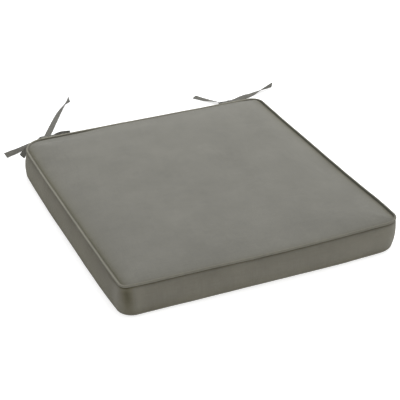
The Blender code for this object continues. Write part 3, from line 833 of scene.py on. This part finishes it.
def band_crease(p):
    """Painted shade under the upper piping, on the left side and in the corner fold, painted light on the
    front, and darker, greener colour towards the base.
    """
    down, up = max(BAND_TOP - p.z, 0.0), max(p.z - BAND_BASE, 0.0)
    front = ramp(-p.y, 0.215, 0.020)
    side = (1.0 - front) * ramp(-p.x, 0.205, 0.022)
    # Painted shade under the upper piping.
    under = (0.22 + 0.30 * front) * bell(down, 0.0023)
    # Darker towards the base, most along the left side.
    low = (0.26 + 0.16 * side) * fade(up, 0.0100 + 0.0040 * side)
    # Painted light: the front is lightened towards its right end and near its left corner.
    painted_front_light = front * (0.09 * ramp(p.x, 0.06, 0.14) + 0.08 * bell(p.x + HALF_X - 0.030, 0.011))
    # Painted shade on the left side and in the corner fold, painted light over the whole front.
    return (under + low + 0.09 * side - 0.045 * front + 0.50 * corner_fold(p)
            - painted_front_light * min(1.0, up / 0.01) * min(1.0, down / 0.006))


def bottom_relief(p):
    """The bottom panel lies flat round its edge and lifts a little inside it."""
    inward = inward_of(p.x, p.y, 0.009)
    lift = 0.0005 + 0.0005 * noise.noise(Vector((p.x * 14.0, p.y * 14.0, 5.0)))
    return -lift * min(1.0, inward / 0.02)


def panel(name, node, table, flip, relief, crease):
    """One of the two large panels, cut from the cover; flip turns its faces down."""
    verts, faces, uvs = compact(list(table.values()), grid_faces(table, flip),
                                lambda k: (VERTS[k].x, VERTS[k].y))
    if flip:
        for vert in verts:
            vert.z = max(vert.z, 0.0002)
    obj = canvas_sheet(name, verts, faces, uvs, MATERIALS["panel"], relief, crease)
    stands_for(obj, node)


SEAM_STATION = min((u * HALF_X for u in ACROSS), key=lambda x: abs(x - 0.204))   # band meets placket
BAND_LENGTHS = arc_lengths(loop_points(BAND_INSET, 0.5, 0.0))


def band_relief(p):
    """Relief of the side band: broad waves, puckers at both seams, and a dimple at the front left corner."""
    down, up = max(BAND_TOP - p.z, 0.0), max(p.z - BAND_BASE, 0.0)
    along = p.y if abs(p.x) / HALF_X > abs(p.y) / HALF_Y else p.x + 3.0
    broad = 0.0012 * noise.noise(Vector((p.x * 17.0, p.y * 17.0, p.z * 30.0)))
    pucker = 0.0009 * ripple(along * 70.0, p.z * 24.0, 2.0) * (fade(down, 0.009) + fade(up, 0.009))
    inner = min(1.0, down / 0.006, up / 0.006)
    fold = -0.0042 * corner_fold(p)
    return (broad + fold) * inner + pucker * min(1.0, down / 0.002, up / 0.002)


def side_band():
    """The long band: left side, front and right side, ending at the rear placket."""
    count = len(LOOP)
    first_loop = BAND_LOOPS[0]
    keep = [k for k in range(count) if not (VERTS[first_loop[k]].y > 0.24 and LOOP[k][1] == 1.0
                                           and abs(LOOP[k][0]) * HALF_X < SEAM_STATION - 0.001)]
    level_of = {loop[k]: (row, k) for row, loop in enumerate(BAND_LOOPS) for k in keep}
    indices, kept, faces = list(level_of), set(keep), []
    for upper, lower in zip(BAND_LOOPS, BAND_LOOPS[1:]):
        for k in keep:
            after = (k + 1) % count
            if after in kept:
                faces.append((upper[k], lower[k], lower[after], upper[after]))

    def uv_of(index):
        row, k = level_of[index]
        return BAND_LENGTHS[k], BAND_LEVELS[row] * (BAND_TOP - BAND_BASE)

    verts, faces, uvs = compact(indices, faces, uv_of)
    obj = canvas_sheet("side_band", verts, faces, uvs, MATERIALS["band"], band_relief, band_crease)
    stands_for(obj, "front_side_band")


PLACKET_HALF = SEAM_STATION - 0.0004   # half the placket's length
SLOT_HALF = 0.0023        # half the opening over the teeth
HEM = 0.0062              # topstitching to the folded edge beside the zip


def slot_edge(x):
    """Distance from the parting line to the folded edge: open over the teeth, shut beyond them."""
    share = ramp(abs(x), ZIP_HALF - 0.001, 0.010)
    return SLOT_HALF + (0.00025 - SLOT_HALF) * share * share * (3.0 - 2.0 * share)


def rear_band(name, node, sign):
    """One half of the rear placket, with its folded and stitched edge along the zip."""
    seam_z = BAND_TOP if sign > 0.0 else BAND_BASE
    columns = int(round(2.0 * PLACKET_HALF / 0.003))
    profile = [(0.0, -0.0016), (0.0, -0.0006), (0.0007, 0.0), (0.0030, 0.0), (HEM - 0.0006, 0.0),
               (HEM, -0.00045), (HEM + 0.0006, -0.00005)]   # from the edge, outwards
    rows = []
    for column in range(columns + 1):
        x = PLACKET_HALF * (1.0 - 2.0 * column / columns)
        edge = ZIP_Z + sign * slot_edge(x)
        end = 0.0007 * fade(PLACKET_HALF - abs(x), 0.0016)
        line = [(edge + sign * away, depth) for away, depth in profile]
        start = line[-1][0]
        for share in (0.25, 0.5, 0.75, 1.0):
            z = start + (seam_z - start) * share
            wave = 0.0008 * noise.noise(Vector((x * 26.0, z * 30.0, 7.0))) * (1.0 - share ** 4)
            line.append((z, wave * share))
        level = [(z - BASE_Z) / (TOP_Z - BASE_Z) for z, _ in line]
        rows.append([Vector((x, REAR_Y - end + depth + shift_at(lv, "rear", x / HALF_X), z))
                     for (z, depth), lv in zip(line, level)])
    across = len(rows[0])
    verts = [p for row in rows for p in row]
    faces = [(a, a + 1, a + across + 1, a + across) for column in range(columns)
             for a in range(column * across, (column + 1) * across - 1)]
    if sign < 0.0:
        faces = [quad[::-1] for quad in faces]
    uvs = [(verts[i].x, verts[i].z) for quad in faces for i in quad]
    obj = canvas_sheet(name, verts, faces, uvs, MATERIALS["band"], lambda p: 0.0, band_crease)
    stands_for(obj, node)


panel("top_canvas", "top_panel", TOP_GRID, False, panel_relief, panel_crease)
panel("bottom_canvas", "bottom_panel", BOTTOM_GRID, True, bottom_relief, lambda p: 0.0)
side_band()
rear_band("placket_upper", "rear_band_upper", 1.0)
rear_band("placket_lower", "rear_band_lower", -1.0)


# ---- piping, its filler cord, and the stitched seams ----
def closed_path(inset, level, z, step=0.0022):
    """Evenly spaced closed path along a seam, with the outward direction at each point."""
    rough = loop_points(inset, level, z)
    rows = [tuple(p) for p in rough[-2:] + rough + rough[:3]]
    dense = catmull(rows, 4)
    dense = dense[8:8 + 4 * len(rough) + 1]
    line, _ = even_spacing(dense, step)
    points = [Vector(p) for p in line[:-1]]
    result = []
    for k, point in enumerate(points):
        along = (points[(k + 1) % len(points)] - points[k - 1]).normalized()
        result.append((point, Vector((along.y, -along.x, 0.0))))
    return result


def swept_ring(name, path, section_at, material):
    """Closed sweep: section_at(distance) gives (outward, up) points."""
    distance, verts = arc_lengths([point for point, _ in path]), []
    for (point, outward), s in zip(path, distance):
        section = section_at(s)
        verts += [point + outward * out + Vector((0.0, 0.0, up)) for out, up in section]
    faces = tube_quads(len(path), len(section), closed=True)
    obj = make_object(name, verts, faces, tube_uvs(distance, girth_of(section)), material)
    face_outwards(obj)
    return obj


PIPE_SIDES = 18
PIPE_TURN = 166.0         # degrees from outwards to where the canvas leaves the cord, either way round
PIPE_R = WELT_R * 0.90
TUCK = 0.0012             # how much further in the lower piping lies
FLANGE = 0.0088           # width of the flange that is sewn in


# Painted light on the piping by side: strength of the painted highlight on its ridge, where on its round
# (degrees
# # from outwards) and how wide, then strength of the painted shade on the half that faces the panel.
PIPING_PAINTED_LIGHT = {"front": (0.00, 90.0, 0.40, 0.06), "left": (0.60, 60.0, 0.34, 0.46),
               "right": (0.12, 66.0, 0.40, 0.46), "rear": (0.44, 116.0, 0.70, 0.0)}


def piping_painted_light(outward, face):
    """Ridge values of one section of the piping, painted highlight and painted shade, which depend on the side
    of the pad it is on.
    """
    shares = {"front": max(-outward.y, 0.0) ** 2, "rear": max(outward.y, 0.0) ** 2,
              "left": max(-outward.x, 0.0) ** 2, "right": max(outward.x, 0.0) ** 2}
    values = []
    for k in range(PIPE_SIDES + 1):
        turn = face * (PIPE_TURN - 2.0 * PIPE_TURN * k / PIPE_SIDES)
        # Painted shade where the canvas turns in under the cord.
        value = -0.22 * bell(turn + PIPE_TURN, 29.0)
        for side, share in shares.items():
            light, centre, width, dark = PIPING_PAINTED_LIGHT[side]
            value += share * (light * bell(math.radians(turn - centre), width)
                              - dark * bell(math.radians(turn - 138.0), 0.74))
        values.append(value)
    return values + [0.0, 0.0, 0.0]


def piping(name, node, level, z, seed):
    """Bias-cut canvas round a cord; its sewn flange is turned down (up at the base) inside the band."""
    face = 1.0 if level == 1.0 else -1.0
    path = closed_path(WELT_R + TUCK * (1.0 - level), level, z)

    def section(s):
        swell = 1.0 + 0.030 * ripple(s * 120.0, 0.0, seed) + 0.10 * bell(s - 0.045, 0.006)
        lift = 0.00022 * ripple(s * 34.0, 4.0, seed)
        slip = 0.00025 * ripple(s * 27.0, 8.0, seed)
        radius = PIPE_R * swell
        ring = []
        for k in range(PIPE_SIDES + 1):
            angle = math.radians(PIPE_TURN - 2.0 * PIPE_TURN * k / PIPE_SIDES)
            ring.append((radius * math.cos(angle) + slip, face * radius * math.sin(angle) + lift))
        return ring + [(-PIPE_R - 0.00005, -face * FLANGE), (-PIPE_R - 0.00065, -face * FLANGE),
                       (-PIPE_R - 0.00002, -face * 0.0024)]

    obj = swept_ring(name, path, section, MATERIALS["piping"])
    # The ridge attribute holds painted highlight and painted shade.
    ridge = obj.data.attributes.new("ridge", "FLOAT", "POINT")
    ridge.data.foreach_set("value", [painted_ridge_light for _, outward in path for painted_ridge_light in piping_painted_light(outward, face)])
    stands_for(obj, node)


def filler(name, node, level, z):
    """Braided cord inside the piping."""
    path = closed_path(WELT_R + TUCK * (1.0 - level), level, z, 0.0030)

    def section(s):
        radius = 0.00125 * (1.0 + 0.06 * math.sin(s / 0.0009))
        return [(radius * math.cos(k * math.pi / 4.0), radius * math.sin(k * math.pi / 4.0)) for k in range(8)]

    stands_for(swept_ring(name, path, section, MATERIALS["fibre"]), node)


THREAD_R = 0.00030
STITCH_PITCH, STITCH_LENGTH = 0.0034, 0.0026
# One stitch: share of its length, then its thickness and its height in thread radii.
STITCH = ((0.0, 0.35, -1.2), (0.2, 0.9, -0.1), (0.5, 1.0, 0.35), (0.8, 0.9, -0.1), (1.0, 0.35, -1.2))


def thread(name, runs):
    """Rows of stitches, each given by its start, its end and the outward direction."""
    verts, faces = [], []
    for start, end, outward in runs:
        across = (end - start).normalized().cross(outward).normalized()
        faces += tube_quads(5, 6, len(verts)) + tube_caps(5, 6, len(verts))
        for share, size, lift in STITCH:
            centre = start.lerp(end, share) + outward * (lift * THREAD_R)
            for k in range(6):
                turn = k * math.pi / 3.0
                verts.append(centre + (across * math.cos(turn) + outward * math.sin(turn)) * THREAD_R * size)
    uvs = [(verts[i].x + verts[i].y, verts[i].z) for face in faces for i in face]
    stands_for(make_object(name, verts, faces, uvs, MATERIALS["thread"]))


def seam_stitches(name, inset, level, z, tilt):
    """A row of stitches all round the cover beside its piping."""
    path = closed_path(inset, level, z, STITCH_PITCH / 2.0)
    runs = []
    for k in range(0, len(path) - 2, 2):
        point, outward = path[k]
        end = point + (path[k + 2][0] - point) * (STITCH_LENGTH / STITCH_PITCH)
        runs.append((point, end, (outward + Vector((0.0, 0.0, tilt))).normalized()))
    thread(name, runs)


def placket_stitches():
    """Topstitching beside the zip, and across its two ends."""
    out, runs = Vector((0.0, 1.0, 0.0)), []
    for sign in (1.0, -1.0):
        count = int((2.0 * SEAM_STATION - 0.006) / STITCH_PITCH)
        for k in range(count):
            x = SEAM_STATION - 0.003 - k * STITCH_PITCH
            rise = [ZIP_Z + sign * (slot_edge(px) + HEM) for px in (x, x - STITCH_LENGTH)]
            runs.append((Vector((x, REAR_Y - 0.00005, rise[0])),
                         Vector((x - STITCH_LENGTH, REAR_Y - 0.00005, rise[1])), out))
    for x in (-ZIP_HALF - 0.012, ZIP_HALF + 0.012):
        for k in range(4):
            z = ZIP_Z - 0.0058 + k * 0.0031
            runs.append((Vector((x, REAR_Y + 0.0001, z)), Vector((x, REAR_Y + 0.0001, z + 0.0024)), out))
    thread("placket_stitches", runs)


piping("top_piping", "top_welt", 1.0, TOP_Z, 1.7)
piping("base_piping", "bottom_welt", 0.0, BASE_Z, 6.1)
filler("top_filler", "top_welt_cord", 1.0, TOP_Z)
filler("base_filler", "bottom_welt_cord", 0.0, BASE_Z)
seam_stitches("top_stitches", 0.0014, 1.0, TOP_Z - WELT_R - 0.0001, 0.3)
seam_stitches("base_stitches", 0.0014, 0.0, BASE_Z + WELT_R + 0.0001, -0.3)
placket_stitches()


# ---- filling ----
def slab(name, node, inset, low_at, high_at, material, relief=0.0003):
    """Closed block that follows the cover's plan: low_at and high_at give its faces' heights."""
    cells, table, verts, faces = 44, {}, [], []
    for layer in (0, 1):
        for j in range(cells + 1):
            for i in range(cells + 1):
                u, v = 2.0 * i / cells - 1.0, 2.0 * j / cells - 1.0
                x, y = warped(*plan_point(u, v, inset(v), 0.5), 0.5)
                depth = min(HALF_X - abs(x), HALF_Y - abs(y))
                z = high_at(x, y, depth) if layer else low_at(x, y, depth)
                table[(layer, i, j)] = len(verts)
                z += relief * noise.noise(Vector((x * 40.0, y * 40.0, layer * 9.0)))
                verts.append(Vector((x, y, z)))
    for j in range(cells):
        for i in range(cells):
            for layer in (0, 1):
                quad = [table[(layer, i, j)], table[(layer, i + 1, j)], table[(layer, i + 1, j + 1)],
                        table[(layer, i, j + 1)]]
                faces.append(tuple(quad if layer else quad[::-1]))
    edge = [(i, 0) for i in range(cells)] + [(cells, j) for j in range(cells)]
    edge += [(i, cells) for i in range(cells, 0, -1)] + [(0, j) for j in range(cells, 0, -1)]
    for (i, j), (m, n) in zip(edge, edge[1:] + edge[:1]):
        faces.append((table[(0, i, j)], table[(0, m, n)], table[(1, m, n)], table[(1, i, j)]))
    obj = make_object(name, verts, faces, None, material)
    obj.data.set_sharp_from_angle(angle=math.radians(50.0))
    bevel = obj.modifiers.new("edges", "BEVEL")
    bevel.width, bevel.segments, bevel.limit_method = 0.0012, 2, "ANGLE"
    settled(obj)
    stands_for(obj, node)


FOAM_BOX, UPPER_BOX, LOWER_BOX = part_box("foam_core"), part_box("wrap_upper"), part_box("wrap_lower")
slab("foam_block", "foam_core", lambda v: 0.0060 + 0.0036 * (v > 0.97),
     lambda x, y, d: FOAM_BOX[0].z, lambda x, y, d: FOAM_BOX[1].z, MATERIALS["foam"])
slab("fibre_upper", "wrap_upper", lambda v: 0.0120,
     lambda x, y, d: FOAM_BOX[1].z + 0.0005,
     lambda x, y, d: FOAM_BOX[1].z + 0.0012 + (UPPER_BOX[1].z - FOAM_BOX[1].z - 0.0032)
     * (1.0 - fade(max(d - 0.012, 0.0), 0.03)), MATERIALS["fibre"], relief=0.0004)
slab("fibre_lower", "wrap_lower", lambda v: 0.0150,
     lambda x, y, d: LOWER_BOX[0].z + 0.0006, lambda x, y, d: FOAM_BOX[0].z - 0.0005, MATERIALS["fibre"])


# ---- zip ----
def coil(name, node, side, offset):
    """Half of a nylon coil zip: one continuous monofilament wound along the tape's edge."""
    pitch, wire, turn_points, sides = 0.0016, 0.00030, 10, 5
    centre_y, centre_z = (COIL_LOW.y + COIL_HIGH.y) / 2.0, ZIP_Z + side * 0.00105
    turns = int(2.0 * ZIP_HALF / pitch) - 1
    line = []
    for k in range(turns * turn_points + 1):
        turn = 2.0 * math.pi * k / turn_points
        x = -ZIP_HALF + 0.0004 + offset * pitch + pitch * k / turn_points
        line.append(Vector((x, centre_y + 0.00042 * math.sin(turn),
                            centre_z + side * 0.00115 * math.cos(turn))))
    verts = []
    for k, point in enumerate(line):
        along = (line[min(k + 1, len(line) - 1)] - line[max(k - 1, 0)]).normalized()
        first = along.orthogonal().normalized() if k == 0 else (first - along * first.dot(along)).normalized()
        second = along.cross(first)
        for s in range(sides):
            turn = 2.0 * math.pi * s / sides
            verts.append(point + (first * math.cos(turn) + second * math.sin(turn)) * wire)
    faces = tube_quads(len(line), sides) + tube_caps(len(line), sides)
    stands_for(make_object(name, verts, faces, None, MATERIALS["nylon"]), node)


coil("coil_upper", "zip_coil_upper", 1.0, 0.0)
coil("coil_lower", "zip_coil_lower", -1.0, 0.5)
for key, nodes in (("tape", ("zip_tape_upper", "zip_tape_lower")),
                   ("metal", ("zip_slider", "zip_pull", "zip_stop_closed_end", "zip_stop_open_end"))):
    for node in nodes:
        for holder in bpy.data.objects[node].material_slots:
            holder.material = MATERIALS[key]


# ---- floor and light ----
def add_lamp(name, kind, energy, place):
    """Square or distant lamp at a place, turned to the origin."""
    lamp = bpy.data.lights.new(name, kind)
    lamp.energy = energy
    obj = bpy.data.objects.new(name, lamp)
    scene.collection.objects.link(obj)
    obj.location = place if kind == "AREA" else (0.0, 0.0, 0.0)
    obj.rotation_euler = Vector(place).to_track_quat("Z", "Y").to_euler()
    return lamp


def studio():
    """Plain pale floor, an even sky and two broad soft lamps."""
    n = Nodes("floor")
    tone = n.mix(n.remap(n.noise(n.place, 3.0), 0.3, 0.7), (0.56, 0.56, 0.56, 1.0), (0.59, 0.59, 0.59, 1.0))
    n.set(Base_Color=tone, Emission_Color=(1.0, 1.0, 1.0, 1.0), Emission_Strength=0.72, Roughness=0.9,
          Specular_IOR_Level=0.1)
    corners = [(-9.0, -9.0, -0.0002), (9.0, -9.0, -0.0002), (9.0, 9.0, -0.0002), (-9.0, 9.0, -0.0002)]
    floor = make_object("floor", corners, [(0, 1, 2, 3)], None, n.material, smooth=False)
    world = bpy.data.worlds.new("studio")
    scene.world = world
    world.use_nodes = True
    background = world.node_tree.nodes["Background"]
    background.inputs["Color"].default_value = (1.0, 1.0, 1.0, 1.0)
    background.inputs["Strength"].default_value = 0.52
    for name, direction, energy in (("overhead", (0.46, 0.40, 1.0), 1.46),
                                    ("front_fill", (0.25, -1.0, 0.8), 0.22)):
        add_lamp(name, "SUN", energy, direction).angle = math.radians(60.0)
    add_lamp("rear_softbox", "AREA", 11.0, (0.42, 0.72, 1.15)).size = 1.0
    scene.view_settings.view_transform = "Standard"
    scene.view_settings.look = "None"
    scene.view_settings.exposure = 0.0
    scene.view_settings.gamma = 1.0


studio()
